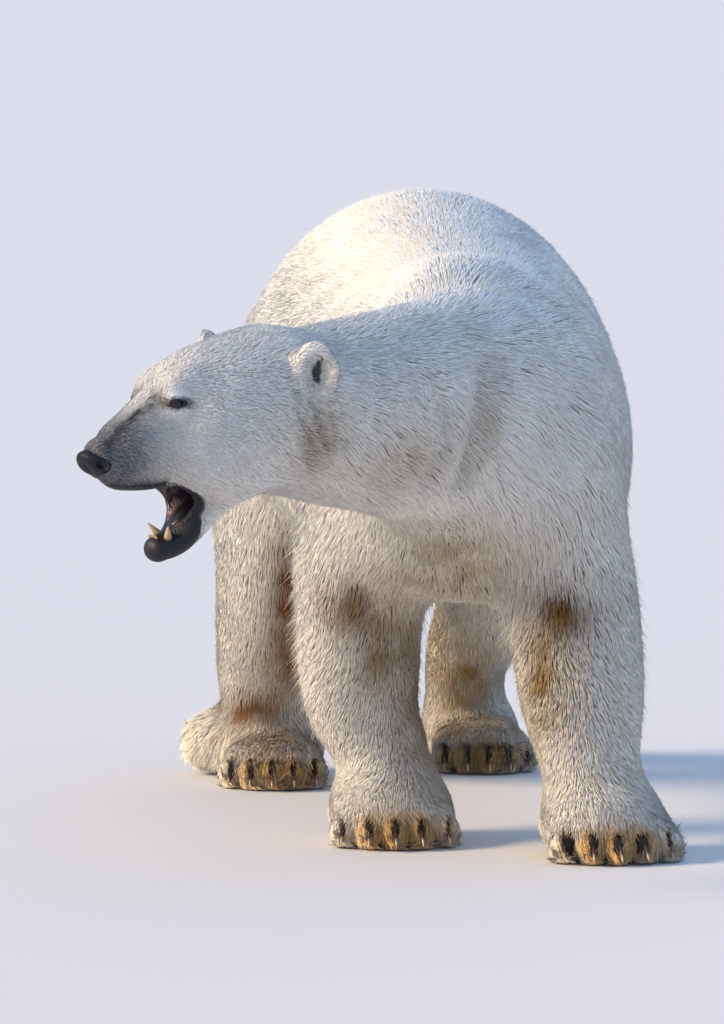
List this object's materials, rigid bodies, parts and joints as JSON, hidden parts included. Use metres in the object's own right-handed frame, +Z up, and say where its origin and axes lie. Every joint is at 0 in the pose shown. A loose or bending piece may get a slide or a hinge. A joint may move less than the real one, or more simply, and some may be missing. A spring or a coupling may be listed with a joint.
{
  "type": "polar bear model",
  "caption": "Life-size still model of an adult polar bear, standing with its head swung to its right and its mouth open",
  "frame": {"origin": "on the floor, under the middle of the bear's box, at the level of its soles", "axes": "+Z up, the bear faces -Y, its own left side is +X; its length runs along Y"},
  "size_m": [0.9926, 1.9088, 0.9754],
  "materials": {
    "coat": "creamy white guard hair, soft and matt, stained ochre on the inner legs",
    "paw_coat": "short golden-brown hair over the toes",
    "lips": "bare black skin, slightly moist",
    "nose_skin": "bare black pebbled skin, moist",
    "eye": "dark brown glass eye, polished",
    "tongue": "dull purple flesh, moist",
    "claw_horn": "dark brown horn with paler tips"
  },
  "bodies": {
    "root": {"trunk_chest": "coat", "trunk_belly": "coat", "trunk_rump": "coat", "neck": "coat", "tail": "coat", "head": "coat", "lower_jaw": "lips", "nose": "nose_skin", "tongue": "tongue", "eye_left": "eye", "eye_right": "eye", "ear_left": "coat", "ear_right": "coat", "foreleg_left_upper": "coat", "foreleg_left_lower": "coat", "forepaw_left": "paw_coat", "foreleg_right_upper": "coat", "foreleg_right_lower": "coat", "forepaw_right": "paw_coat", "hindleg_left_upper": "coat", "hindleg_left_lower": "coat", "hindpaw_left": "paw_coat", "hindleg_right_upper": "coat", "hindleg_right_lower": "coat", "hindpaw_right": "paw_coat", "claw_forepaw_left_1": "claw_horn", "claw_forepaw_left_2": "claw_horn", "claw_forepaw_left_3": "claw_horn", "claw_forepaw_left_4": "claw_horn", "claw_forepaw_left_5": "claw_horn", "claw_forepaw_right_1": "claw_horn", "claw_forepaw_right_2": "claw_horn", "claw_forepaw_right_3": "claw_horn", "claw_forepaw_right_4": "claw_horn", "claw_forepaw_right_5": "claw_horn", "claw_hindpaw_left_1": "claw_horn", "claw_hindpaw_left_2": "claw_horn", "claw_hindpaw_left_3": "claw_horn", "claw_hindpaw_left_4": "claw_horn", "claw_hindpaw_left_5": "claw_horn", "claw_hindpaw_right_1": "claw_horn", "claw_hindpaw_right_2": "claw_horn", "claw_hindpaw_right_3": "claw_horn", "claw_hindpaw_right_4": "claw_horn", "claw_hindpaw_right_5": "claw_horn"}
  },
  "joints": []
}
